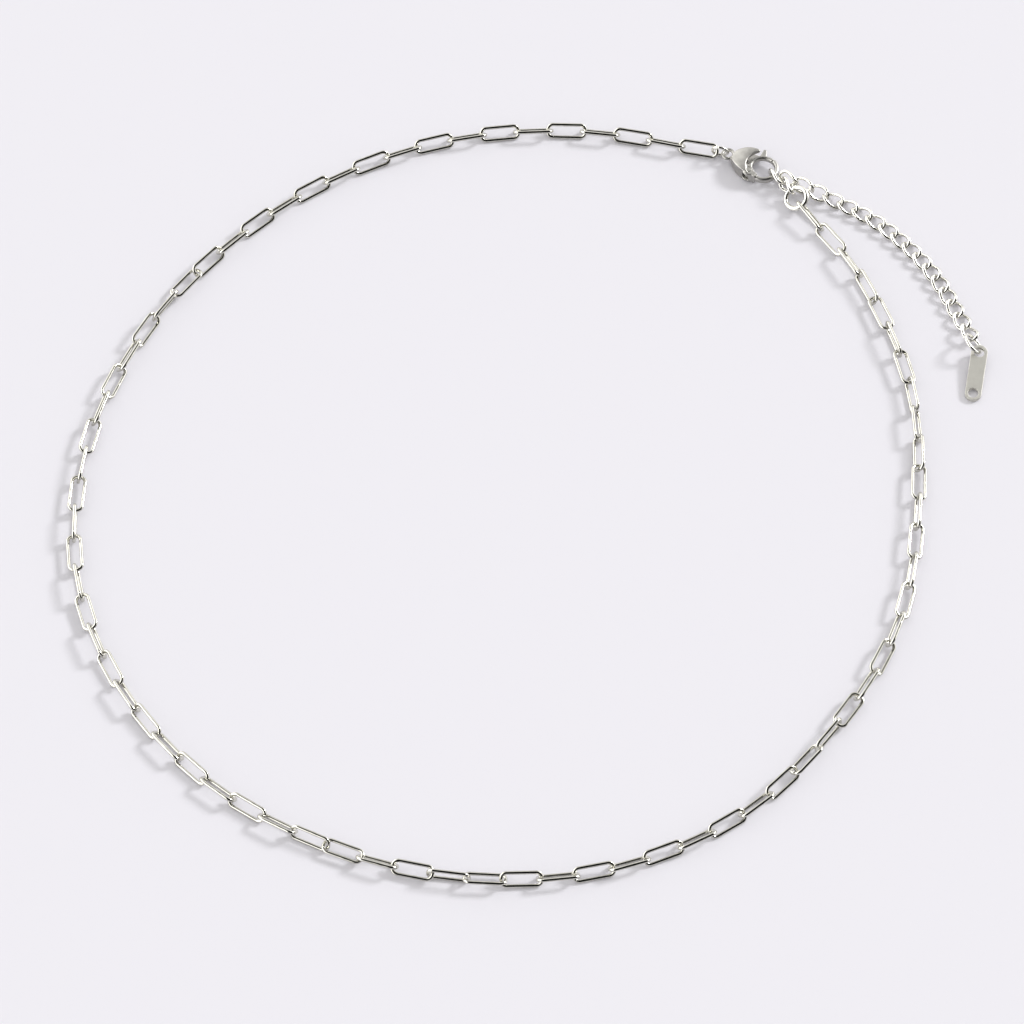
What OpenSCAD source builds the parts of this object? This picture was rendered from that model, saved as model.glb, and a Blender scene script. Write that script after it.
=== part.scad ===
// Paperclip chain necklace, fastened and lying flat on a surface.
// Lengths are millimetres and angles degrees. +Z is up, and the origin lies on the surface
// below the middle of the outline. The chain runs anticlockwise from the clasp.

/* [Chain] */
// Number of paperclip links
link_count = 75; // [60:1:90]
// Length of a paperclip link over its ends
link_len = 7.05; // [6.6:0.05:7.8]
// Width of a paperclip link over its sides
link_w = 2.75; // [2.6:0.05:3]
// Thickness of the paperclip links' round wire
wire_d = 0.6; // [0.5:0.02:0.62]
// Radius of a paperclip link's corners, along the middle of its wire
corner_r = 0.9; // [0.7:0.05:1]

/* [Rings] */
// Outer diameter of the thick ring at the end of the chain
end_od = 4.6; // [4.2:0.1:5.2]
// Wire thickness of the thick end ring
end_wire = 0.85; // [0.6:0.05:0.95]
// Outer diameter of the jump ring on the clasp
ring_od = 3.2; // [3:0.05:3.6]
// Wire thickness of the jump ring on the clasp
ring_wire = 0.55; // [0.4:0.05:0.6]
// Outer diameter of the jump ring on the tag
tag_ring_od = 4.3; // [4.1:0.1:4.8]
// Wire thickness of the jump ring on the tag
tag_ring_wire = 0.6; // [0.4:0.05:0.65]

/* [Extender] */
// Number of curb links in the free end
curb_count = 17; // [10:1:20]
// Length of a curb link over its ends
curb_len = 4.1; // [3.9:0.05:4.4]
// Width of a curb link over its sides
curb_w = 3; // [2.8:0.05:3.2]
// Thickness of the curb links' wire
curb_wire = 0.6; // [0.5:0.02:0.64]
// Height from the lowest to the highest point along the middle of a curb link's twisted wire
curb_twist = 0.85; // [0.7:0.05:1]

/* [Tag] */
// Length of the end tag
tag_len = 10.4; // [9:0.1:12]
// Width of the end tag
tag_w = 2.75; // [2.6:0.05:3.2]
// Thickness of the end tag
tag_t = 0.65; // [0.5:0.05:0.8]
// Diameter of the tag's two holes
tag_hole = 1.7; // [1.6:0.05:1.9]

/* [Clasp] */
// Length of the clasp from its bail to the outside of its hook
clasp_len = 10.6; // [10:0.1:12]
// Thickness of the clasp's body
clasp_t = 2.6; // [2.4:0.1:3]
// Half of the body's width at its shoulders
clasp_half = 2.65; // [2.4:0.05:2.9]
// Radius of the round opening inside the hook
hook_in = 1.9; // [1.8:0.05:2.1]
// Width of the hook's bar, seen from above
hook_w = 0.8; // [0.7:0.05:1]
// Height of the hook's bar
hook_h = 1.2; // [1:0.05:1.4]
// Radius of the bail's ring, along the middle of its wire
bail_r = 0.95; // [0.9:0.05:1.1]
// Thickness of the bail's wire
bail_wire = 0.6; // [0.5:0.05:0.7]
// Width of the lever's arm, seen from above
lever_w = 0.7; // [0.6:0.05:0.8]
// Thickness of the lever
lever_t = 1; // [0.8:0.05:1]
// Diameter of the pin on which the lever turns
pin_d = 0.8; // [0.6:0.05:0.9]

/* [Fits] */
// Free way between two wires that hold each other
play = 0.13; // [0.11:0.01:0.18]
// Clearance of the lever and the body on the pin, on the radius
pin_play = 0.02; // [0.01:0.01:0.04]
// Clearance between the lever's faces and the walls of its slot
slot_play = 0.1; // [0.05:0.01:0.15]

/* [Hidden] */
$fn = 32;

// Free length between two joints, for each kind of piece
pitch = link_len - 2 * wire_d - play;
curb_pitch = curb_len - 2 * curb_wire - play;
end_span = end_od - 2 * end_wire - play;
clasp_mid = clasp_t / 2;
ring_lean = 80;
ring_mid_r = (ring_od - ring_wire) / 2;
ring_mid = ring_mid_r * sin(ring_lean) + ring_wire / 2;
ring_rise = ring_mid - clasp_mid;
ring_span = 2 * sqrt(pow(ring_od / 2 - ring_wire, 2) - ring_rise * ring_rise) - 2 * play;
clasp_span = clasp_len - bail_wire - hook_w - play;
chain_len = link_count * pitch;
loop_len = chain_len + end_span + 2 * curb_pitch + clasp_span + ring_span;

// Route of the closed loop, chosen points, from the clasp leftwards and round
ROUTE = [[31, 68.5], [8, 73], [-15, 71], [-36, 62], [-53.5, 47.5], [-67, 28.5], [-74.5, 7], [-75, -16],
         [-67.5, -37], [-53, -55], [-33.5, -67], [-12, -73], [11, -71.5], [32, -62], [48, -45.5],
         [59, -25.5], [63, -2.5], [62.5, 20.5], [55, 42.5], [46, 56], [42.5, 62], [38.5, 65.5], [34, 68]];
// Route of the free end, chosen points, from its first joint
FREE_ROUTE = [[0, 0], [2.4, -1.4], [4.9, -2.7], [7.5, -4], [12.3, -6.6], [16.9, -10], [20.8, -14],
              [24.2, -18.5], [26.8, -23.4], [29.1, -29], [30.9, -33.2]];
// Roll of the paperclip links: [link number, degrees], each second link is a quarter turn on
TWIST = [[1, 45], [17, 45], [20, -45], [27, 0], [34, 45], [39, 45], [40, 60], [42, 132], [43, 122],
         [44, 90], [46, 45], [54, 45], [55, 55], [56, 85], [58, 125], [65, 105], [67, 150], [68, 115],
         [70, 90], [71, 90], [73, 143], [75, 143]];

// Smooth curve through chosen points, as a fine chain of short steps
STEPS = 12;
function curve_at(a, b, c, d, t) =
    (2 * b + (c - a) * t + (2 * a - 5 * b + 4 * c - d) * t * t + (3 * b - a - 3 * c + d) * t * t * t) / 2;
function closed_curve(p) = let (n = len(p)) concat(
    [for (i = [0:n - 1], j = [0:STEPS - 1])
        curve_at(p[(i + n - 1) % n], p[i], p[(i + 1) % n], p[(i + 2) % n], j / STEPS)],
    [p[0]]);
function open_curve(p) = let (n = len(p)) concat(
    [for (i = [0:n - 2], j = [0:STEPS - 1])
        curve_at(i > 0 ? p[i - 1] : 2 * p[0] - p[1], p[i], p[i + 1],
                 i + 2 < n ? p[i + 2] : 2 * p[n - 1] - p[n - 2], j / STEPS)],
    [p[n - 1]]);
// Distance run at each point of a curve
function run(p) =
    [for (i = 0, s = 0; i < len(p); i = i + 1, s = s + (i < len(p) ? norm(p[i] - p[i - 1]) : 0)) s];
// Two tables for finding a place by the distance run, the curve scaled to the wanted length
function tables(p, total) = let (s = run(p), k = total / s[len(p) - 1])
    [for (axis = [0, 1]) [for (i = [0:len(p) - 1]) k * [s[i], p[i][axis]]]];
function place(t, s) = [lookup(s, t[0]), lookup(s, t[1])];
LOOP = tables(closed_curve(ROUTE), loop_len);

// Roll of a paperclip link, and the height of its middle when it rests on its lower edge
function roll(i) = lookup(i, TWIST) + 90 * (i % 2);
function need(i) = wire_d / 2 + (link_w - wire_d) / 2 * abs(sin(roll(i)));
// A link lies no lower than this, because its neighbours hold it up
neighbour_drop = wire_d / 5;
function lift(i) =
    max([for (j = [-5:5]) need(min(max(i + j, 1), link_count)) - abs(j) * neighbour_drop]);

// Joints of the loop: the paperclip links' ends, then end ring, two curb links, clasp and clasp ring.
// Each row of the table holds the distance run, and the height as a share of the clasp's middle.
END_JOINTS = [
    [chain_len, 1.25],
    [chain_len + end_span, 1.28],
    [chain_len + end_span + curb_pitch, 1.22],
    [chain_len + end_span + 2 * curb_pitch, 1.01],
    [loop_len - ring_span, 1],
    [loop_len, 1]];
function joint(i) = i < 1 ? [each place(LOOP, 0), clasp_mid]
    : i < link_count ? [each place(LOOP, i * pitch), max(lift(i), lift(i + 1))]
    : let (e = END_JOINTS[i - link_count]) [each place(LOOP, e[0]), e[1] * clasp_mid];
JOINTS = [for (i = [0:link_count + 5]) joint(i)];
end_roll = -29;
first_curb_roll = 90;
held_curb_roll = 56;

// Level directions of a way, and to its left
function level(way) = [way.x, way.y, 0] / norm([way.x, way.y]);
function left_of(way) = [-level(way).y, level(way).x, 0];
function heading(a) = [cos(a), sin(a), 0];

// The curb link in the hook carries two neighbours side by side at its far end.
// Their joints lie there by shares of a curb link's width.
held_start = JOINTS[link_count + 2];
held_way = JOINTS[link_count + 3] - held_start;
function near_held(along, left) =
    held_start + curb_w * (along * level(held_way) + left * left_of(held_way));
first_curb_start = JOINTS[link_count + 1];
first_curb_way = near_held(0, 0.067) - first_curb_start;
first_curb_end = first_curb_start + curb_pitch / norm(first_curb_way) * first_curb_way;
free_start = near_held(0.317, -0.223);

// Free end: joints along its own route. The tables hold a joint's number and its height as a share
// of a lying curb link's, and a link's number and its roll.
curb_rest = (curb_twist + curb_wire) / 2;
FREE = tables(open_curve(FREE_ROUTE), curb_count * curb_pitch);
FREE_HEIGHT = [[0, 2.08], [1, 2.03], [2, 1.78], [3, 1.42], [4, 1], [curb_count - 2, 1],
               [curb_count - 1, 1.38], [curb_count, 1.81]];
FREE_ROLL = [[1, 76.5], [2, 46], [3, 23], [4, 0], [curb_count - 1, 0], [curb_count, -13]];
FREE_JOINTS = [for (i = [0:curb_count]) let (flat = place(FREE, i * curb_pitch))
    [free_start.x + flat.x, free_start.y + flat.y, curb_rest * lookup(i, FREE_HEIGHT)]];

// The jump ring leans over the last curb link, its low side on the surface, and holds up the tag's end
tag_ring_heading = -80;
tag_ring_lean = -47.7;
tag_ring_rise = 11;
tag_ring_hold = tag_ring_od / 2 - tag_ring_wire - play / 2;
tag_ring_r = (tag_ring_od - tag_ring_wire) / 2;
tag_ring_low = cos(tag_ring_lean) * cos(tag_ring_rise);
tag_ring_height = tag_ring_r * sqrt(1 - pow(tag_ring_low, 2)) + tag_ring_wire / 2;
tag_ring_way = heading(tag_ring_heading);
tag_ring_left = left_of(tag_ring_way);
free_end = FREE_JOINTS[curb_count];
tag_ring_mid = [free_end.x, free_end.y, tag_ring_height]
    + tag_ring_hold * (0.945 * tag_ring_way - 0.195 * tag_ring_left);
tag_heading = -100;
tag_tilt = 6.7;
tag_top = tag_ring_mid + tag_ring_r * (0.984 * tag_ring_way + 0.346 * tag_ring_left - [0, 0, 0.168]);
tag_spacing = tag_len - tag_w;

// Farthest reach of each outermost piece along a level axis n
function link_reach(i, n) =
    let (
        way = JOINTS[i] - JOINTS[i - 1],
        along = way / norm(way),
        left = left_of(way),
        across = cos(roll(i)) * left + sin(roll(i)) * cross(along, left),
        a = along * n,
        b = across * n)
    (JOINTS[i] + JOINTS[i - 1]) / 2 * n + wire_d / 2 + abs(a) * ((link_len - wire_d) / 2 - corner_r)
        + abs(b) * ((link_w - wire_d) / 2 - corner_r) + corner_r * norm([a, b]);
function chain_reach(n) = max([for (i = [1:link_count]) link_reach(i, n)]);
function tag_reach(n) =
    let (
        along = cos(tag_tilt) * heading(tag_heading) - [0, 0, sin(tag_tilt)],
        face = sin(tag_tilt) * (heading(tag_heading) * n))
    max(tag_top * n, (tag_top + tag_spacing * along) * n) + tag_w / 2 * sqrt(1 - face * face)
        + tag_t / 2 * abs(face);

// Middle of the outline, which the origin lies below
middle = [max(chain_reach([1, 0, 0]), tag_reach([1, 0, 0])) - chain_reach([-1, 0, 0]),
          chain_reach([0, 1, 0]) - chain_reach([0, -1, 0]), 0] / 2;

// Puts its children from joint p to joint q, turned by roll about the line between them
module between(p, q, roll = 0, up = 0) {
    d = q - p;
    translate((p + q) / 2 + [0, 0, up] - middle)
        rotate([0, -atan2(d.z, norm([d.x, d.y])), atan2(d.y, d.x)])
            rotate([roll, 0, 0])
                children();
}

// Closed ring of round wire, lying flat
module wire_ring(od, wire) {
    rotate_extrude()
        translate([(od - wire) / 2, 0])
            circle(d = wire);
}

// Rounded oblong of round wire, lying flat along X
module wire_oblong(length, width, wire, corner) {
    end = (length - wire) / 2 - corner;
    side = (width - wire) / 2 - corner;
    for (q = [0:3])
        translate([end * sign(cos(90 * q + 45)), side * sign(sin(90 * q + 45)), 0])
            rotate(90 * q)
                rotate_extrude(angle = 90)
                    translate([corner, 0])
                        circle(d = wire);
    for (s = [-1, 1]) {
        translate([0, s * (side + corner), 0])
            rotate([0, 90, 0])
                cylinder(h = 2 * end, d = wire, center = true);
        translate([s * (end + corner), 0, 0])
            rotate([90, 0, 0])
                cylinder(h = 2 * side, d = wire, center = true);
    }
}

// Curb link: an oval of wire, twisted so that its four quarters rise and fall in turn
CURB_STATIONS = 16;
CURB_SIDES = 6;
module curb_link() {
    a = (curb_len - curb_wire) / 2;
    b = (curb_w - curb_wire) / 2;
    points = [
        for (k = [0:CURB_STATIONS - 1])
            let (
                u = 360 * k / CURB_STATIONS,
                on = [a * cos(u), b * sin(u), curb_twist * cos(u) * sin(u)],
                along = [-a * sin(u), b * cos(u), curb_twist * cos(2 * u)],
                out = cross(along, [0, 0, 1]) / norm(cross(along, [0, 0, 1])),
                up = cross(out, along) / norm(along))
            for (m = [0:CURB_SIDES - 1])
                let (v = 360 * m / CURB_SIDES)
                on + curb_wire / 2 * (cos(v) * out + sin(v) * up)];
    faces = [
        for (k = [0:CURB_STATIONS - 1], m = [0:CURB_SIDES - 1])
            let (
                this = k * CURB_SIDES,
                next = ((k + 1) % CURB_STATIONS) * CURB_SIDES,
                n = (m + 1) % CURB_SIDES)
            each [[this + m, next + m, next + n], [this + m, next + n, this + n]]];
    polyhedron(points, faces);
}

// Clasp frame: the middle of the hook's opening is the origin, +X runs from the bail to the hook,
// and +Y to the thumb tab
hook_out = hook_in + hook_w;
bail_mid = hook_out - clasp_len + bail_r + bail_wire / 2;
hook_root = -117;
hook_tip = 68;
widest_back = 1.15;
shoulder_x = -hook_in - widest_back;
// Radii of the body's swell from the bail to the shoulders, in plan and from the side
shell_len = shoulder_x - bail_mid - bail_r;
neck_half = bail_wire / 2 + 0.6;
neck_rise = bail_wire / 2 + 0.38;
function swell(run, drop) = (run * run + drop * drop) / (2 * drop);
side_r = swell(shell_len + widest_back, clasp_half - neck_half);
face_r = swell(shell_len, clasp_t / 2 - neck_rise);
cheek_t = clasp_t - 0.6;
slot_t = lever_t + 2 * slot_play;
lever_out = hook_in + lever_w;
// Radius of the body's hollow front edge, which follows the lever with a dark gap between
front_r = lever_out + 0.35;
pivot_angle = 225;
pivot = lever_out * [cos(pivot_angle), sin(pivot_angle)];
hub_r = lever_w;
cheek_r = hub_r + 0.45;
// Angle between the hook's tip and the lever's
tip_gap = 3;
gate_tip = hook_tip + tip_gap;
// The lever turns in a slot at mid thickness, narrow at its hub and deep where its arm swings back
slot_half = hub_r + slot_play;
slot_back = shoulder_x - 0.6;
arm_start = pivot.y + hub_r / 2;
// Thumb tab: the angles of its root on the lever, and its rounded tip
tab_root = [103, 133];
tab_angle = 112;
tab_out = lever_out + 1.2;
tab_tip_r = 0.32;

module in_clasp() {
    hook = JOINTS[link_count + 3];
    bail = JOINTS[link_count + 4];
    way = level(hook - bail);
    translate([bail.x, bail.y, clasp_mid] + (clasp_len - hook_out - bail_wire - play / 2) * way - middle)
        rotate(atan2(way.y, way.x))
            children();
}

// Upright section of a round-edged bar, its inner side on the axis
module bar_section(width, height) {
    for (s = [-1, 1])
        translate([width / 2, s * (height - width) / 2])
            circle(d = width);
    translate([0, -(height - width) / 2])
        square([width, height - width]);
}

// Sweeps its section round the opening between two angles
module around(inner, from, to) {
    rotate(from)
        rotate_extrude(angle = to - from)
            translate([inner, 0])
                children();
}

// Flat plate between two radii and two angles
module band(inner, outer, from, to, height) {
    around(inner, from, to)
        translate([0, -height / 2])
            square([outer - inner, height]);
}

// Body behind the opening: it swells from the bail to the shoulders, in plan and from the side
module plan_side(s) {
    translate([shoulder_x + widest_back, s * (clasp_half - side_r), 0])
        cylinder(h = clasp_t, r = side_r, center = true, $fn = 96);
}

module face_side(s) {
    translate([shoulder_x, 0, s * (clasp_t / 2 - face_r)])
        rotate([90, 0, 0])
            cylinder(h = 2 * clasp_half, r = face_r, center = true, $fn = 96);
}

module shell() {
    intersection() {
        plan_side(-1);
        plan_side(1);
        face_side(-1);
        face_side(1);
        translate([bail_mid + bail_r, -clasp_half, -clasp_t / 2])
            cube([shell_len + widest_back, 2 * clasp_half, clasp_t]);
    }
}

module clasp_body() {
    color("silver")
        in_clasp() {
            translate([bail_mid, 0, 0])
                wire_ring(2 * bail_r + bail_wire, bail_wire);
            around(hook_in, hook_root, hook_tip)
                bar_section(hook_w, hook_h);
            difference() {
                union() {
                    difference() {
                        shell();
                        cylinder(h = clasp_t + 1, r = front_r, center = true);
                    }
                    translate([pivot.x, pivot.y, 0])
                        cylinder(h = cheek_t, r = cheek_r, center = true);
                    band(hook_in, hook_out + 0.1, pivot_angle, 360 + hook_root + 20, cheek_t);
                }
                cylinder(h = clasp_t, r = hook_in, center = true);
                translate([pivot.x, pivot.y, 0])
                    cylinder(h = clasp_t, d = pin_d + 2 * pin_play, center = true);
                difference() {
                    union() {
                        translate([pivot.x - slot_half, -hook_out - 1, -slot_t / 2])
                            cube([2 * slot_half, hook_out + 1, slot_t]);
                        translate([slot_back, arm_start, -slot_t / 2])
                            cube([pivot.x + slot_half - slot_back, hook_out + 1 - arm_start, slot_t]);
                    }
                    band(hook_in - 0.5, hook_out + 0.5, 360 + hook_root, 360 + hook_root + 60, clasp_t);
                }
            }
        }
}

module clasp_lever() {
    root = [for (a = tab_root) (hook_in + lever_w / 2) * [cos(a), sin(a)]];
    tip = (tab_out - tab_tip_r) * [cos(tab_angle), sin(tab_angle)];
    color("gainsboro")
        in_clasp()
            difference() {
                union() {
                    around(hook_in, gate_tip, pivot_angle)
                        bar_section(lever_w, lever_t);
                    translate([pivot.x, pivot.y, 0])
                        cylinder(h = lever_t, r = hub_r, center = true);
                    translate([tip.x, tip.y, 0])
                        cylinder(h = lever_t, r = tab_tip_r, center = true);
                    translate([0, 0, -lever_t / 2])
                        linear_extrude(height = lever_t)
                            polygon([root[0], tip + [tab_tip_r, 0], tip - [tab_tip_r, 0], root[1]]);
                }
                translate([pivot.x, pivot.y, 0])
                    cylinder(h = clasp_t, d = pin_d + 2 * pin_play, center = true);
            }
}

module clasp_rivet() {
    color("dimgray")
        in_clasp()
            translate([pivot.x, pivot.y, 0])
                cylinder(h = cheek_t, d = pin_d, center = true);
}

module clasp_ring() {
    color("gainsboro")
        between(JOINTS[link_count + 4], JOINTS[link_count + 5], ring_lean, ring_rise)
            wire_ring(ring_od, ring_wire);
}

module end_ring() {
    color("lightgray")
        between(JOINTS[link_count], JOINTS[link_count + 1], end_roll)
            wire_ring(end_od, end_wire);
}

module extender() {
    color("whitesmoke") {
        between(first_curb_start, first_curb_end, first_curb_roll)
            curb_link();
        between(held_start, JOINTS[link_count + 3], held_curb_roll)
            curb_link();
        for (i = [1:curb_count])
            between(FREE_JOINTS[i - 1], FREE_JOINTS[i], lookup(i, FREE_ROLL))
                curb_link();
    }
}

module tag_ring() {
    way = cos(tag_ring_rise) * tag_ring_way + [0, 0, sin(tag_ring_rise)];
    color("lightgray")
        between(tag_ring_mid - way, tag_ring_mid + way, tag_ring_lean)
            wire_ring(tag_ring_od, tag_ring_wire);
}

module tag() {
    color("lightgray")
        translate(tag_top - middle)
            rotate([0, tag_tilt, tag_heading])
                difference() {
                    union() {
                        for (x = [0, tag_spacing])
                            translate([x, 0, 0])
                                cylinder(h = tag_t, d = tag_w, center = true);
                        translate([0, -tag_w / 2, -tag_t / 2])
                            cube([tag_spacing, tag_w, tag_t]);
                    }
                    for (x = [0, tag_spacing])
                        translate([x, 0, 0])
                            cylinder(h = 2 * tag_t, d = tag_hole, center = true);
                }
}

module chain() {
    color("silver")
        for (i = [1:link_count])
            between(JOINTS[i - 1], JOINTS[i], roll(i))
                wire_oblong(link_len, link_w, wire_d, corner_r);
}

chain();
clasp_ring();
clasp_body();
clasp_lever();
clasp_rivet();
end_ring();
extender();
tag_ring();
tag();
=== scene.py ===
"""Paperclip chain necklace, fastened and lying flat on a pale surface.

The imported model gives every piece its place. The pieces here stand for its nodes with smooth wire,
rounded castings and finishes. Sizes are in millimetres as in the part's source, and MM turns them
to metres.
"""
from math import radians

import bmesh
import bpy
import numpy as np
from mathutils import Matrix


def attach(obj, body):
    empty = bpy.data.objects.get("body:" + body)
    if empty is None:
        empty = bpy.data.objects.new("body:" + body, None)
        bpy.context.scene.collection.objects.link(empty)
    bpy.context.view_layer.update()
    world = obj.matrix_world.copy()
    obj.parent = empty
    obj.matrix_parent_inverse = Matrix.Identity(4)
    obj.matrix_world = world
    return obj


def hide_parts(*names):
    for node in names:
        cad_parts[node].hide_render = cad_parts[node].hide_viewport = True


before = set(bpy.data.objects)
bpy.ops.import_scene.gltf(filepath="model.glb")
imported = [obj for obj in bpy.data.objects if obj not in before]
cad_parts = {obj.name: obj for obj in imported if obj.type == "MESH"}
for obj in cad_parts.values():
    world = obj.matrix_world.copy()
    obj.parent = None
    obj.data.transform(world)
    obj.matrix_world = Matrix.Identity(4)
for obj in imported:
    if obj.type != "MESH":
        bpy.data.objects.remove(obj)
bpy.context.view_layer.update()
scene = bpy.context.scene
MM = 0.001

# Sizes, as in the part's source
LINK_COUNT, LINK_LEN, LINK_W, WIRE_D, CORNER_R = 75, 7.05, 2.75, 0.6, 0.9
END_OD, END_WIRE, END_ROLL = 4.6, 0.85, -29
RING_OD, RING_WIRE, RING_LEAN = 3.2, 0.55, 80
TAG_RING_OD, TAG_RING_WIRE = 4.3, 0.6
CURB_COUNT, CURB_LEN, CURB_W, CURB_WIRE, CURB_TWIST = 17, 4.1, 3.0, 0.6, 0.85
FIRST_CURB_ROLL, HELD_CURB_ROLL = 90, 56
TAG_LEN, TAG_W, TAG_T = 10.4, 2.75, 0.65
CLASP_LEN, CLASP_T, HOOK_W, BAIL_WIRE = 10.6, 2.6, 0.8, 0.6
PLAY = 0.13

PITCH = LINK_LEN - 2 * WIRE_D - PLAY
CURB_PITCH = CURB_LEN - 2 * CURB_WIRE - PLAY
END_SPAN = END_OD - 2 * END_WIRE - PLAY
CLASP_MID = CLASP_T / 2
RING_RISE = (RING_OD - RING_WIRE) / 2 * np.sin(radians(RING_LEAN)) + RING_WIRE / 2 - CLASP_MID
RING_SPAN = 2 * np.sqrt((RING_OD / 2 - RING_WIRE) ** 2 - RING_RISE ** 2) - 2 * PLAY
CLASP_SPAN = CLASP_LEN - BAIL_WIRE - HOOK_W - PLAY
CHAIN_LEN = LINK_COUNT * PITCH
LOOP_LEN = CHAIN_LEN + END_SPAN + 2 * CURB_PITCH + CLASP_SPAN + RING_SPAN
TAG_SPACING = TAG_LEN - TAG_W
CURB_REST = (CURB_TWIST + CURB_WIRE) / 2

# Chosen points of the closed loop and of the free end
ROUTE = [[31, 68.5], [8, 73], [-15, 71], [-36, 62], [-53.5, 47.5], [-67, 28.5], [-74.5, 7],
         [-75, -16], [-67.5, -37], [-53, -55], [-33.5, -67], [-12, -73], [11, -71.5], [32, -62],
         [48, -45.5], [59, -25.5], [63, -2.5], [62.5, 20.5], [55, 42.5], [46, 56], [42.5, 62],
         [38.5, 65.5], [34, 68]]
FREE_ROUTE = [[0, 0], [2.4, -1.4], [4.9, -2.7], [7.5, -4], [12.3, -6.6], [16.9, -10],
              [20.8, -14], [24.2, -18.5], [26.8, -23.4], [29.1, -29], [30.9, -33.2]]
STEPS = 12

# Tables of [link or joint number, value]: the paperclip links' rolls, then the free end's heights
# and rolls
TWIST = [[1, 45], [17, 45], [20, -45], [27, 0], [34, 45], [39, 45], [40, 60], [42, 132],
         [43, 122], [44, 90], [46, 45], [54, 45], [55, 55], [56, 85], [58, 125], [65, 105],
         [67, 150], [68, 115], [70, 90], [71, 90], [73, 143], [75, 143]]
FREE_HEIGHT = [[0, 2.08], [1, 2.03], [2, 1.78], [3, 1.42], [4, 1], [CURB_COUNT - 2, 1],
               [CURB_COUNT - 1, 1.38], [CURB_COUNT, 1.81]]
FREE_ROLL = [[1, 76.5], [2, 46], [3, 23], [4, 0], [CURB_COUNT - 1, 0], [CURB_COUNT, -13]]
# Heights of the last six joints of the loop, in shares of the clasp's middle
END_HEIGHTS = np.array([1.25, 1.28, 1.22, 1.01, 1, 1])
# How far a link may lie below its neighbour's rest height, and how many neighbours count
NEIGHBOUR_DROP, NEIGHBOURS = WIRE_D / 5, 5
# Beside the curb link in the hook: where the first curb link aims, and where the free end starts
FIRST_CURB_AIM, FREE_START_AT = (0, 0.067), (0.317, -0.223)


def route_curve(points, closed):
    """Smooth curve through chosen points: the cubic between b and c that leaves along c - a and
    arrives along d - b, at equal steps of its parameter."""
    p = np.array(points, float)
    if closed:
        padded = np.concatenate([p[-1:], p, p[:2]])
    else:
        padded = np.concatenate([[2 * p[0] - p[1]], p, [2 * p[-1] - p[-2]]])
    a, b, c, d = (padded[k:len(padded) - 3 + k, None, :] for k in range(4))
    t = (np.arange(STEPS) / STEPS)[None, :, None]
    square = 2 * a - 5 * b + 4 * c - d
    cube = 3 * b - a - 3 * c + d
    fine = (2 * b + (c - a) * t + square * t ** 2 + cube * t ** 3) / 2
    last = p[:1] if closed else p[-1:]
    return np.concatenate([fine.reshape(-1, 2), last])


def along_route(points, closed, total, runs):
    """Places at given distances along a route that is scaled to a wanted total length."""
    fine = route_curve(points, closed)
    run = np.concatenate([[0], np.cumsum(np.linalg.norm(np.diff(fine, axis=0), axis=1))])
    scale = total / run[-1]
    return np.stack([np.interp(runs, run * scale, fine[:, k] * scale) for k in (0, 1)], axis=1)


def lookup(key, table):
    """Value at a key in a table of [key, value] rows, straight between its rows."""
    rows = np.array(table, float)
    return np.interp(key, rows[:, 0], rows[:, 1])


def unit(v):
    """Vectors made one long."""
    return v / np.linalg.norm(v, axis=-1, keepdims=True)


def heading(a):
    """Level direction at an angle in degrees."""
    return np.array([np.cos(radians(a)), np.sin(radians(a)), 0])


def level_left(way):
    """Level direction to the left of a way."""
    return unit(np.stack([-way[..., 1], way[..., 0], 0 * way[..., 0]], axis=-1))


def link_rolls(number):
    """Roll of a paperclip link: the table's, with a quarter turn more on each second link."""
    return lookup(number, TWIST) + 90 * (number % 2)


def rest_heights():
    """Height of each paperclip link's middle: half its wire and its turned half width, but never
    lower than its neighbours hold it."""
    number = np.arange(1, LINK_COUNT + 1)
    turned = np.abs(np.sin(np.radians(link_rolls(number))))
    need = WIRE_D / 2 + (LINK_W - WIRE_D) / 2 * turned
    return np.max([need[np.clip(number - 1 + j, 0, LINK_COUNT - 1)] - abs(j) * NEIGHBOUR_DROP
                   for j in range(-NEIGHBOURS, NEIGHBOURS + 1)], axis=0)


def loop_joints():
    """Points where the loop's pieces hold each other, from the clasp ring round and back to it."""
    lift = rest_heights()
    curb_start = CHAIN_LEN + END_SPAN
    runs = np.concatenate([np.arange(LINK_COUNT) * PITCH,
                           [CHAIN_LEN, curb_start, curb_start + CURB_PITCH,
                            curb_start + 2 * CURB_PITCH, LOOP_LEN - RING_SPAN, LOOP_LEN]])
    height = np.concatenate([[CLASP_MID], np.maximum(lift[:-1], lift[1:]),
                             END_HEIGHTS * CLASP_MID])
    return np.column_stack([along_route(ROUTE, True, LOOP_LEN, runs), height])


JOINTS = loop_joints()
(LAST_LINK_END, FIRST_CURB_START, HELD_START, HELD_END,
 BAIL_JOINT, RING_JOINT) = JOINTS[LINK_COUNT:]
HELD_WAY = HELD_END - HELD_START


def near_held(along, left):
    """Place beside the far end of the curb link in the hook, in shares of a curb link's width."""
    level = unit(HELD_WAY * [1, 1, 0])
    return HELD_START + CURB_W * (along * level + left * level_left(HELD_WAY))


FIRST_CURB_WAY = unit(near_held(*FIRST_CURB_AIM) - FIRST_CURB_START)
FIRST_CURB_END = FIRST_CURB_START + CURB_PITCH * FIRST_CURB_WAY
FREE_START = near_held(*FREE_START_AT)


def free_joints():
    """Points where the free end's curb links hold each other, along its own route."""
    number = np.arange(CURB_COUNT + 1)
    total = CURB_COUNT * CURB_PITCH
    flat = along_route(FREE_ROUTE, False, total, number * CURB_PITCH) + FREE_START[:2]
    return np.column_stack([flat, CURB_REST * lookup(number, FREE_HEIGHT)])


FREE_JOINTS = free_joints()

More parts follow.
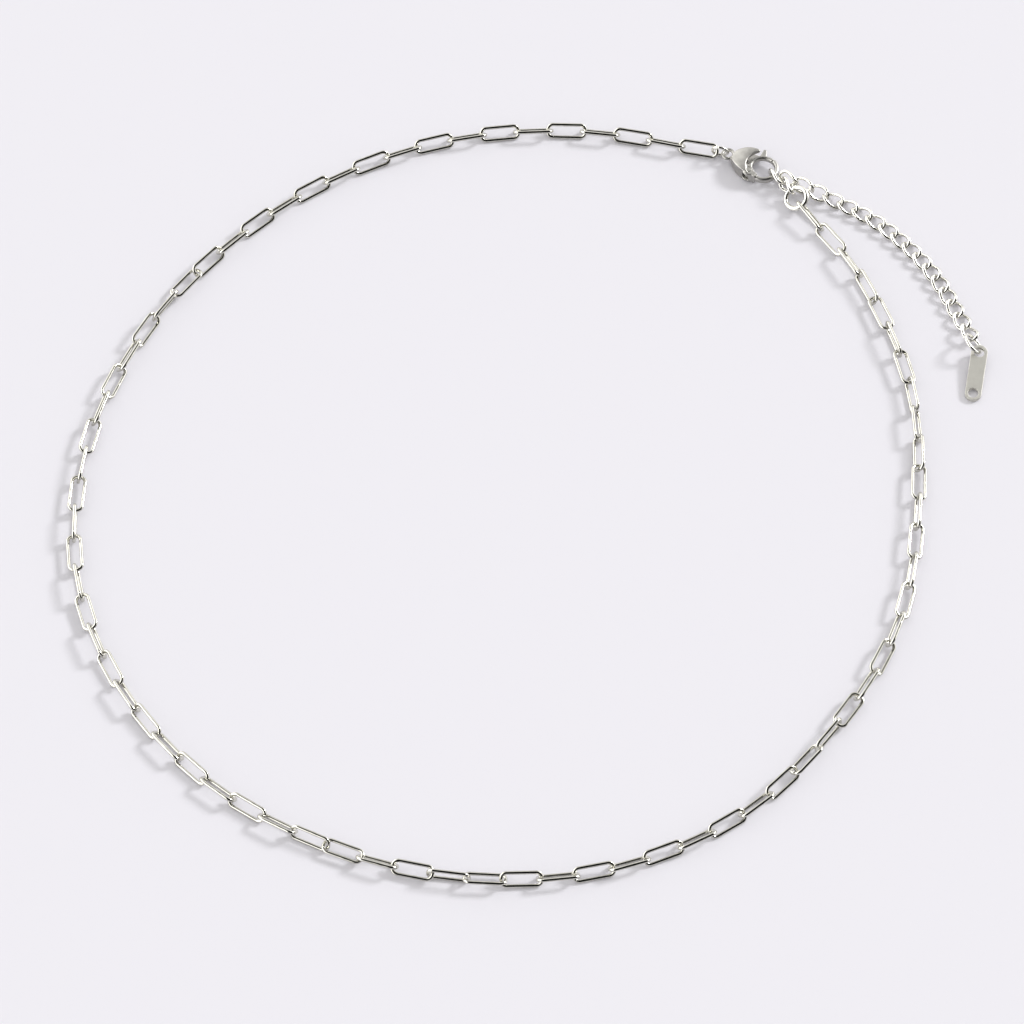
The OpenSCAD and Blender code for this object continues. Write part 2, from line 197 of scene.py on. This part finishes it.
# The tag's jump ring leans over the last curb link, and the tag hangs on its low side
TAG_RING_HEADING, TAG_RING_LEAN, TAG_RING_RISE = -80, -47.7, 11
TAG_HEADING, TAG_TILT = -100, 6.7
TAG_RING_R = (TAG_RING_OD - TAG_RING_WIRE) / 2
TAG_RING_HOLD = TAG_RING_OD / 2 - TAG_RING_WIRE - PLAY / 2
TAG_RING_LOW = np.cos(radians(TAG_RING_LEAN)) * np.cos(radians(TAG_RING_RISE))
TAG_RING_HEIGHT = TAG_RING_R * np.sqrt(1 - TAG_RING_LOW ** 2) + TAG_RING_WIRE / 2
# By its heading: the way from the last joint to the ring's middle, and from there to the tag's top
TO_TAG_RING, TO_TAG_TOP = (0.945, -0.195), (0.984, 0.346, -0.168)


def by_tag_ring(along, left, up=0.0):
    """Direction told by the tag ring's heading."""
    way = heading(TAG_RING_HEADING)
    return along * way + left * level_left(way) + [0, 0, up]


TAG_RING_MID = (FREE_JOINTS[-1] * [1, 1, 0] + [0, 0, TAG_RING_HEIGHT]
                + TAG_RING_HOLD * by_tag_ring(*TO_TAG_RING))
TAG_TOP = TAG_RING_MID + TAG_RING_R * by_tag_ring(*TO_TAG_TOP)


def turned_axes(along, roll):
    """Directions across pieces that lie along a way and are turned about it by roll degrees."""
    roll = np.radians(np.broadcast_to(roll, len(along)))[:, None]
    left = level_left(along)
    return np.cos(roll) * left + np.sin(roll) * np.cross(along, left)


def outline_middle():
    """Middle of the outline: half way between the outermost reach of links and tag along X and
    along Y."""
    start, end = JOINTS[:LINK_COUNT], JOINTS[1:LINK_COUNT + 1]
    along = unit(end - start)
    across = turned_axes(along, link_rolls(np.arange(1, LINK_COUNT + 1)))
    half, side = (LINK_LEN - WIRE_D) / 2 - CORNER_R, (LINK_W - WIRE_D) / 2 - CORNER_R
    lie = np.cos(radians(TAG_TILT)) * heading(TAG_HEADING) - [0, 0, np.sin(radians(TAG_TILT))]

    def chain_reach(n):
        a, b = np.abs(along @ n), np.abs(across @ n)
        return np.max((start + end) / 2 @ n + WIRE_D / 2 + a * half + b * side
                      + CORNER_R * np.hypot(a, b))

    def tag_reach(n):
        face = np.sin(radians(TAG_TILT)) * (heading(TAG_HEADING) @ n)
        return (max(TAG_TOP @ n, (TAG_TOP + TAG_SPACING * lie) @ n)
                + TAG_W / 2 * np.sqrt(1 - face ** 2) + TAG_T / 2 * abs(face))

    x, y = np.eye(3)[:2]
    right = max(chain_reach(x), tag_reach(x))
    return np.array([right - chain_reach(-x), chain_reach(y) - chain_reach(-y), 0]) / 2


MIDDLE = outline_middle()


def frames(start, end, roll, up=0.0):
    """Middle and axes (along, across, through) of pieces that reach from start to end, turned by
    roll degrees about that line."""
    start, end = np.atleast_2d(start), np.atleast_2d(end)
    along = unit(end - start)
    across = turned_axes(along, roll)
    middle = (start + end) / 2 + [0, 0, up] - MIDDLE
    return middle, np.stack([along, across, np.cross(along, across)], axis=1)


def new_group(name, inputs, outputs):
    """Empty shader node group with named inputs and outputs, and its two ends."""
    tree = bpy.data.node_groups.new(name, "ShaderNodeTree")
    for label, value in inputs:
        socket = tree.interface.new_socket(label, in_out="INPUT", socket_type="NodeSocketFloat")
        socket.default_value = value
    for label in outputs:
        tree.interface.new_socket(label, in_out="OUTPUT", socket_type="NodeSocketFloat")
    return tree, tree.nodes.new("NodeGroupInput"), tree.nodes.new("NodeGroupOutput")


def node(tree, kind, links=(), **settings):
    """A node with its settings, and with links as (input name or number, source socket or
    value)."""
    made = tree.nodes.new(kind)
    for key, value in settings.items():
        setattr(made, key, value)
    for key, source in links:
        if isinstance(source, bpy.types.NodeSocket):
            tree.links.new(source, made.inputs[key])
        else:
            made.inputs[key].default_value = source
    return made


def vector_math(tree, operation, first, second):
    """Two vectors' sum, product or the like, by each axis."""
    return node(tree, "ShaderNodeVectorMath", [(0, first), (1, second)],
                operation=operation).outputs[0]


def place_in_mm(tree):
    """The piece's own place, in millimetres."""
    place = node(tree, "ShaderNodeTexCoord")
    return node(tree, "ShaderNodeVectorMath", [(0, place.outputs["Object"]), (3, 1 / MM)],
                operation="SCALE").outputs[0]


def line_noise(tree, place, per_x, per_y, detail):
    """Noise with its own fineness along each of a place's first two axes, so that it draws out
    into lines."""
    stretch = node(tree, "ShaderNodeCombineXYZ", [(0, per_x), (1, per_y)])
    laid = vector_math(tree, "MULTIPLY", place, stretch.outputs[0])
    return node(tree, "ShaderNodeTexNoise",
                [("Vector", laid), ("Scale", 1.0), ("Detail", detail)]).outputs["Fac"]


def draw_lines_group():
    """Drawn wire: fine lines that run along the wire, with its length along U and its girth along
    V, in millimetres."""
    tree, into, out = new_group("Draw lines", [("Length", 0.4), ("Fineness", 9.0)], ["Lines"])
    uv = node(tree, "ShaderNodeUVMap", uv_map="wire")
    lines = line_noise(tree, uv.outputs[0], into.outputs["Length"], into.outputs["Fineness"], 4.0)
    tree.links.new(lines, out.inputs["Lines"])
    return tree


def brushed_group():
    """Brushed face: fine straight lines on the piece's own place, turned by an angle round Z."""
    tree, into, out = new_group(
        "Brushed face", [("Turn", 0.0), ("Length", 0.35), ("Fineness", 8.0)], ["Lines"])
    turned = node(tree, "ShaderNodeVectorRotate",
                  [("Vector", place_in_mm(tree)), ("Angle", into.outputs["Turn"])],
                  rotation_type="Z_AXIS")
    lines = line_noise(tree, turned.outputs[0], into.outputs["Fineness"], into.outputs["Length"],
                       5.0)
    tree.links.new(lines, out.inputs["Lines"])
    return tree


def handling_group():
    """Handling: soft smudges a few millimetres across and short fine scratches over them, on the
    piece's own place."""
    tree, into, out = new_group("Handling", [("Smudge Size", 0.5), ("Scratch Size", 6.0)],
                                ["Smudge", "Scratch"])
    place = place_in_mm(tree)
    smudge = node(tree, "ShaderNodeTexNoise",
                  [("Vector", place), ("Scale", into.outputs["Smudge Size"]), ("Detail", 2.0)])
    scratch = node(tree, "ShaderNodeTexNoise",
                   [("Vector", place), ("Scale", into.outputs["Scratch Size"]), ("Detail", 5.0),
                    ("Roughness", 0.7), ("Distortion", 1.5)])
    tree.links.new(smudge.outputs["Fac"], out.inputs["Smudge"])
    tree.links.new(scratch.outputs["Fac"], out.inputs["Scratch"])
    return tree


DRAW_LINES, HANDLING, BRUSHED = draw_lines_group(), handling_group(), brushed_group()
# The middle part of a noise's range, which the finishes spread over their own
NOISE_LOW, NOISE_HIGH = 0.3, 0.7


def mapped(tree, source, low, high):
    """A noise's middle range, spread from low to high."""
    return node(tree, "ShaderNodeMapRange",
                [("Value", source), ("From Min", NOISE_LOW), ("From Max", NOISE_HIGH),
                 ("To Min", low), ("To Max", high)]).outputs["Result"]


def drawn(length, fineness):
    """Draw lines for a steel finish."""
    return DRAW_LINES, [("Length", length), ("Fineness", fineness)]


def brushed(turn, length, fineness):
    """Brush lines for a steel finish."""
    return BRUSHED, [("Turn", turn), ("Length", length), ("Fineness", fineness)]


def steel(name, dull, bright, rough, bump_mm, lines=None, smudge_size=0.5, scratch_size=6.0):
    """Polished, brushed or tumbled steel. Smudges pull the colour from bright to dull and roughen
    it, and the draw lines, brush lines or scratches raise it by bump_mm."""
    material = bpy.data.materials.new(name)
    material.use_nodes = True
    tree = material.node_tree
    shader = tree.nodes["Principled BSDF"]
    shader.inputs["Metallic"].default_value = 1.0
    handling = node(tree, "ShaderNodeGroup", node_tree=HANDLING,
                    links=[("Smudge Size", smudge_size), ("Scratch Size", scratch_size)])
    smudge, fine = handling.outputs["Smudge"], handling.outputs["Scratch"]
    if lines:
        group, values = lines
        fine = node(tree, "ShaderNodeGroup", values, node_tree=group).outputs["Lines"]
    tone = node(tree, "ShaderNodeMix",
                [(0, mapped(tree, smudge, 0.0, 1.0)), (6, (*bright, 1)), (7, (*dull, 1))],
                data_type="RGBA")
    tree.links.new(tone.outputs[2], shader.inputs["Base Color"])
    smooth, coarse = rough
    broad = mapped(tree, smudge, smooth, (smooth + coarse) / 2)
    grain = mapped(tree, fine, 0.0, (coarse - smooth) / 2)
    total = node(tree, "ShaderNodeMath", [(0, broad), (1, grain)], operation="ADD")
    tree.links.new(total.outputs[0], shader.inputs["Roughness"])
    bump = node(tree, "ShaderNodeBump",
                [("Height", fine), ("Distance", bump_mm * MM), ("Strength", 1.0)])
    tree.links.new(bump.outputs[0], shader.inputs["Normal"])
    return material


CHAIN_STEEL = steel("Drawn steel, links", (0.54, 0.53, 0.48), (0.66, 0.65, 0.60),
                    rough=(0.06, 0.16), bump_mm=0.002, lines=drawn(0.3, 9.0))
RING_STEEL = steel("Drawn steel, rings", (0.70, 0.69, 0.64), (0.86, 0.85, 0.80),
                   rough=(0.18, 0.32), bump_mm=0.004, lines=drawn(0.3, 7.0))
CURB_STEEL = steel("Bright steel, curb links", (0.72, 0.71, 0.66), (0.90, 0.89, 0.84),
                   rough=(0.12, 0.26), bump_mm=0.003, lines=drawn(0.3, 8.0))
CLASP_STEEL = steel("Tumbled steel, clasp", (0.42, 0.41, 0.39), (0.56, 0.55, 0.52),
                    rough=(0.30, 0.46), bump_mm=0.012, smudge_size=0.8, scratch_size=5.0)
TAG_STEEL = steel("Brushed steel, tag", (0.60, 0.59, 0.55), (0.70, 0.69, 0.64),
                  rough=(0.46, 0.64), bump_mm=0.010,
                  lines=brushed(radians(-TAG_HEADING), 0.35, 8.0), smudge_size=0.4)

# Fineness of the wires' meshes: stations along a wire (for a link those of a corner, a side and an
# end), and sides round it
LINK_STATIONS, LINK_SIDES = (9, 10, 3), 14
RING_STATIONS, RING_SIDES = 96, 24
CURB_STATIONS, CURB_SIDES = 64, 16
# Faint swelling of a link's wire at its solder seam: its place and reach along the link, and its
# share of the wire
SEAM_AT, SEAM_REACH, SEAM_SWELL = 0.4, 0.22, 0.07
# Butt seams of the two jump rings: their stations, and the wire's radius there as a share
CLASP_RING_SEAM, TAG_RING_SEAM, BUTT_SHARE = 20, 60, 0.88
# Each piece of a wire shows another part of its pattern
PATTERN_SHIFT = np.array([37.3, 11.7])
# Castings: points this near are one, and each relaxing pass goes this share of the way
MERGE_DIST, RELAX_SHARE = 0.001, 0.6


def add_piece(name, mesh, material, body, node_name):
    """Smooth piece of one finish on its body, standing for a node."""
    mesh.polygons.foreach_set("use_smooth", np.ones(len(mesh.polygons), bool))
    mesh.materials.append(material)
    piece = bpy.data.objects.new(name, mesh)
    scene.collection.objects.link(piece)
    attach(piece, body)
    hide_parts(node_name)


def add_wire(name, shape, material, node_name):
    """Piece of wires, from their points in millimetres, quads and UVs."""
    points, faces, uvs = shape
    mesh = bpy.data.meshes.new(name)
    mesh.from_pydata((points.reshape(-1, 3) * MM).tolist(), [], faces.reshape(-1, 4).tolist())
    mesh.uv_layers.new(name="wire").data.foreach_set("uv", uvs.reshape(-1).astype(np.float32))
    mesh.validate()
    add_piece(name, mesh, material, "necklace", node_name)


def closed_tubes(centres, outs, ups, radius, place, sides):
    """Closed round wires on one centreline: each point is the centreline's, plus the radius times
    (cos v outward + sin v upward), put into each piece's own axes at its middle. Returns points,
    quads and UVs with the run along the wire and round it."""
    middles, axes = place
    count, stations = len(middles), len(centres)
    v = 2 * np.pi * np.arange(sides) / sides
    ring = np.cos(v)[None, :, None] * outs[:, None] + np.sin(v)[None, :, None] * ups[:, None]
    shape = centres[:, None] + np.broadcast_to(radius, stations)[:, None, None] * ring
    points = np.einsum("ksi,nij->nksj", shape, axes) + middles[:, None, None]
    k, s = np.meshgrid(np.arange(stations), np.arange(sides), indexing="ij")
    corners = ((0, 0), (1, 0), (1, 1), (0, 1))
    quads = np.stack([(k + dk) % stations * sides + (s + ds) % sides for dk, ds in corners],
                     axis=-1)
    faces = quads.reshape(1, -1, 4) + (np.arange(count) * stations * sides)[:, None, None]
    step = np.linalg.norm(np.roll(centres, -1, axis=0) - centres, axis=1)
    run = np.concatenate([[0], np.cumsum(step)])
    girth = 2 * np.pi * np.mean(radius) * np.arange(sides + 1) / sides
    uv = np.stack([np.stack([run[k + dk], girth[s + ds]], axis=-1) for dk, ds in corners], axis=2)
    shift = np.arange(count)[:, None, None, None, None] * PATTERN_SHIFT
    return points, faces, uv[None] + shift


def oblong_line(length, width, corner, per_corner, per_side, per_end):
    """Rounded oblong along X: straight sides and ends with a quarter circle between them, and the
    outward direction at each point."""
    half, side = length / 2 - corner, width / 2 - corner
    points, outs = [], []
    for q, (sx, sy) in enumerate(((1, 1), (-1, 1), (-1, -1), (1, -1))):
        centre = np.array([sx * half, sy * side, 0])
        a = np.pi / 2 * (q + np.arange(per_corner) / per_corner)
        out = np.stack([np.cos(a), np.sin(a), 0 * a], axis=1)
        points.append(centre + corner * out)
        outs.append(out)
        last = np.array([np.cos(np.pi / 2 * (q + 1)), np.sin(np.pi / 2 * (q + 1)), 0])
        straight = per_side if q % 2 == 0 else per_end
        run = [-2 * sx * half, 0, 0] if q % 2 == 0 else [0, -2 * sy * side, 0]
        t = (np.arange(straight) / straight)[:, None]
        points.append(centre + corner * last + t * np.array(run))
        outs.append(np.repeat(last[None], straight, axis=0))
    return np.concatenate(points), np.concatenate(outs)


def circle_line(radius, stations):
    """Level circle, and the outward direction at each point."""
    a = 2 * np.pi * np.arange(stations) / stations
    out = np.stack([np.cos(a), np.sin(a), 0 * a], axis=1)
    return radius * out, out


def curb_line(stations):
    """Curb link: an oval that rises and falls by the twist times cos u sin u, with the wire's
    outward direction level and its upward one square to the wire."""
    u = 2 * np.pi * np.arange(stations) / stations
    a, b = (CURB_LEN - CURB_WIRE) / 2, (CURB_W - CURB_WIRE) / 2
    points = np.stack([a * np.cos(u), b * np.sin(u), CURB_TWIST * np.cos(u) * np.sin(u)], axis=1)
    along = np.stack([-a * np.sin(u), b * np.cos(u), CURB_TWIST * np.cos(2 * u)], axis=1)
    out = unit(np.cross(along, [0, 0, 1]))
    return points, out, unit(np.cross(out, along))


def upward(line):
    """Upward direction at each point of a flat line."""
    return np.broadcast_to([0.0, 0.0, 1.0], line.shape)


def add_links():
    """The paperclip links. Each has a faint swelling where its wire is soldered, on one side."""
    rolls = link_rolls(np.arange(1, LINK_COUNT + 1))
    place = frames(JOINTS[:LINK_COUNT], JOINTS[1:LINK_COUNT + 1], rolls)
    line, out = oblong_line(LINK_LEN - WIRE_D, LINK_W - WIRE_D, CORNER_R, *LINK_STATIONS)
    seam = np.exp(-((line[:, 0] - SEAM_AT) / SEAM_REACH) ** 2) * (line[:, 1] > 0)
    radius = WIRE_D / 2 * (1 + SEAM_SWELL * seam)
    shape = closed_tubes(line, out, upward(line), radius, place, LINK_SIDES)
    add_wire("paperclip_links", shape, CHAIN_STEEL, "chain")


def add_ring(name, od, wire, place, node_name, seam_at=None):
    """Ring of round wire, with a fine butt seam at a station where it was closed."""
    line, out = circle_line((od - wire) / 2, RING_STATIONS)
    radius = np.full(len(line), wire / 2)
    if seam_at is not None:
        radius[seam_at] *= BUTT_SHARE
    shape = closed_tubes(line, out, upward(line), radius, place, RING_SIDES)
    add_wire(name, shape, RING_STEEL, node_name)


def add_rings():
    """The clasp's jump ring, the closed thick ring at the chain's end and the tag's jump ring."""
    place = frames(BAIL_JOINT, RING_JOINT, RING_LEAN, RING_RISE)
    add_ring("clasp_jump_ring", RING_OD, RING_WIRE, place, "clasp_ring", CLASP_RING_SEAM)
    place = frames(LAST_LINK_END, FIRST_CURB_START, END_ROLL)
    add_ring("thick_end_ring", END_OD, END_WIRE, place, "end_ring")
    way = by_tag_ring(np.cos(radians(TAG_RING_RISE)), 0, np.sin(radians(TAG_RING_RISE)))
    place = frames(TAG_RING_MID - way, TAG_RING_MID + way, TAG_RING_LEAN)
    add_ring("tag_jump_ring", TAG_RING_OD, TAG_RING_WIRE, place, "tag_ring", TAG_RING_SEAM)


def add_curb_links():
    """The two curb links that reach into the hook, and the free ones."""
    free_rolls = lookup(np.arange(1, CURB_COUNT + 1), FREE_ROLL)
    start = np.concatenate([[FIRST_CURB_START], [HELD_START], FREE_JOINTS[:-1]])
    end = np.concatenate([[FIRST_CURB_END], [HELD_END], FREE_JOINTS[1:]])
    place = frames(start, end, np.concatenate([[FIRST_CURB_ROLL, HELD_CURB_ROLL], free_rolls]))
    shape = closed_tubes(*curb_line(CURB_STATIONS), CURB_WIRE / 2, place, CURB_SIDES)
    add_wire("curb_links", shape, CURB_STEEL, "extender")


def add_casting(name, node_name, material, body, voxel, passes):
    """The node's solid as a tumbled casting: its faces made one even mesh of cells voxel
    millimetres wide, then relaxed by a number of passes so that every edge turns round."""
    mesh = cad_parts[node_name].data.copy()
    mesh.materials.clear()
    shape = bmesh.new()
    shape.from_mesh(mesh)
    bmesh.ops.scale(shape, vec=(1 / MM,) * 3, verts=shape.verts)
    bmesh.ops.remove_doubles(shape, verts=shape.verts, dist=MERGE_DIST)
    shape.to_mesh(mesh)
    shape.free()
    draft = bpy.data.objects.new("draft", mesh)
    scene.collection.objects.link(draft)
    remesh = draft.modifiers.new("even", "REMESH")
    remesh.mode, remesh.voxel_size, remesh.adaptivity = "VOXEL", voxel, 0.0
    relax = draft.modifiers.new("relax", "LAPLACIANSMOOTH")
    relax.iterations, relax.lambda_factor = passes, RELAX_SHARE
    relax.use_volume_preserve = True
    bpy.context.view_layer.update()
    relaxed = draft.evaluated_get(bpy.context.evaluated_depsgraph_get())
    final = bpy.data.meshes.new_from_object(relaxed)
    bpy.data.objects.remove(draft)
    final.name = name
    points = np.empty(len(final.vertices) * 3, np.float32)
    final.vertices.foreach_get("co", points)
    final.vertices.foreach_set("co", points * MM)
    add_piece(name, final, material, body, node_name)


def add_castings():
    """The clasp's three parts and the tag."""
    add_casting("clasp_casting", "clasp_body", CLASP_STEEL, "necklace",
                voxel=0.05, passes=20)
    add_casting("sprung_lever", "clasp_lever", CLASP_STEEL, "lever",
                voxel=0.05, passes=6)
    add_casting("rivet", "clasp_rivet", CLASP_STEEL, "necklace",
                voxel=0.03, passes=2)
    add_casting("end_tag", "tag", TAG_STEEL, "necklace",
                voxel=0.05, passes=3)


add_links()
add_rings()
add_curb_links()
add_castings()

# The surround by direction: the dark oval's middle, reach and soft edge, and the side walls' soft
# edge
DARK_MIDDLE, DARK_REACH = (0.24, -0.46, 0.0), (0.75, 1.0, 1000.0)
DARK_EDGE, WALL_EDGE = (0.93, 1.12), (0.2, 0.7)
BEYOND_LEVEL, SIDE_LEVEL, DARK_LEVEL, DOME_LEVEL = 1.1, 2.6, 0.005, 0.78
SURROUND_COLOR = (1.0, 0.99, 0.97, 1)
FLOOR_HALF, FLOOR_COLOR = 4.0, (0.82, 0.81, 0.865, 1)
SUN_LEVEL, SUN_SOFTNESS, SUN_FROM_UP, SUN_TURN = 1.705, 14, 58, 118
CAMERA_LENS, CAMERA_SENSOR, CAMERA_CLIP = 182.3, 36, (0.01, 20)
CAMERA_PLACE, CAMERA_RISE = (-3.24, -457.9, 714.4), 57.56


def add_floor():
    """Plain pale board, far wider than the picture."""
    corners = [(x * FLOOR_HALF, y * FLOOR_HALF, 0) for x, y in ((-1, -1), (1, -1), (1, 1), (-1, 1))]
    mesh = bpy.data.meshes.new("floor")
    mesh.from_pydata(corners, [], [(0, 1, 2, 3)])
    material = bpy.data.materials.new("Pale board")
    material.use_nodes = True
    shader = material.node_tree.nodes["Principled BSDF"]
    shader.inputs["Base Color"].default_value = FLOOR_COLOR
    shader.inputs["Roughness"].default_value = 0.7
    shader.inputs["Specular IOR Level"].default_value = 0.2
    mesh.materials.append(material)
    floor = bpy.data.objects.new("floor", mesh)
    scene.collection.objects.link(floor)


def soft_step(tree, source, edge, low=0.0, high=1.0):
    """Goes softly from low to high while the source passes from one end of an edge to the
    other."""
    return node(tree, "ShaderNodeMapRange",
                [("Value", source), ("From Min", edge[0]), ("From Max", edge[1]),
                 ("To Min", low), ("To Max", high)], interpolation_type="SMOOTHSTEP").outputs[0]


def add_world():
    """Studio surround, told by direction only. What the metal mirrors is white walls low on both
    sides, a softer one beyond the object, and a dark oval over it that leans to the camera and to
    the right. All else is lit by an even dome."""
    world = bpy.data.worlds.new("studio")
    scene.world = world
    world.use_nodes = True
    tree = world.node_tree
    ground = tree.nodes["Background"]
    direction = node(tree, "ShaderNodeTexCoord").outputs["Generated"]
    shifted = vector_math(tree, "SUBTRACT", direction, DARK_MIDDLE)
    scaled = vector_math(tree, "DIVIDE", shifted, DARK_REACH)
    away = node(tree, "ShaderNodeVectorMath", [(0, scaled)], operation="LENGTH").outputs["Value"]
    open_sky = soft_step(tree, away, DARK_EDGE)
    parts = node(tree, "ShaderNodeSeparateXYZ", [(0, direction)])
    sideways = node(tree, "ShaderNodeMath", [(0, parts.outputs[0])], operation="ABSOLUTE")
    wall = soft_step(tree, sideways.outputs[0], WALL_EDGE, BEYOND_LEVEL, SIDE_LEVEL)
    lit = node(tree, "ShaderNodeMath", [(0, wall), (1, open_sky)], operation="MULTIPLY")
    room = node(tree, "ShaderNodeMath", [(0, lit.outputs[0]), (1, DARK_LEVEL)], operation="ADD")
    mirrored = node(tree, "ShaderNodeLightPath").outputs["Is Glossy Ray"]
    level = node(tree, "ShaderNodeMix", [(0, mirrored), (2, DOME_LEVEL), (3, room.outputs[0])])
    tree.links.new(level.outputs[0], ground.inputs["Strength"])
    ground.inputs["Color"].default_value = SURROUND_COLOR


def add_sun():
    """Key light from the right and a little beyond, about 32 degrees up, with a soft edge."""
    data = bpy.data.lights.new("key", "SUN")
    data.energy, data.angle = SUN_LEVEL, radians(SUN_SOFTNESS)
    key = bpy.data.objects.new("key", data)
    key.rotation_euler = (radians(SUN_FROM_UP), 0, radians(SUN_TURN))
    scene.collection.objects.link(key)


def add_camera():
    """Camera at the photograph's place, which looks along +Y and down by CAMERA_RISE degrees."""
    data = bpy.data.cameras.new("camera")
    data.lens, data.sensor_width = CAMERA_LENS, CAMERA_SENSOR
    data.clip_start, data.clip_end = CAMERA_CLIP
    camera = bpy.data.objects.new("camera", data)
    camera.location = [value * MM for value in CAMERA_PLACE]
    camera.rotation_euler = (radians(90 - CAMERA_RISE), 0, 0)
    scene.collection.objects.link(camera)
    scene.camera = camera


add_floor()
add_world()
add_sun()
add_camera()
scene.view_settings.view_transform = "Standard"
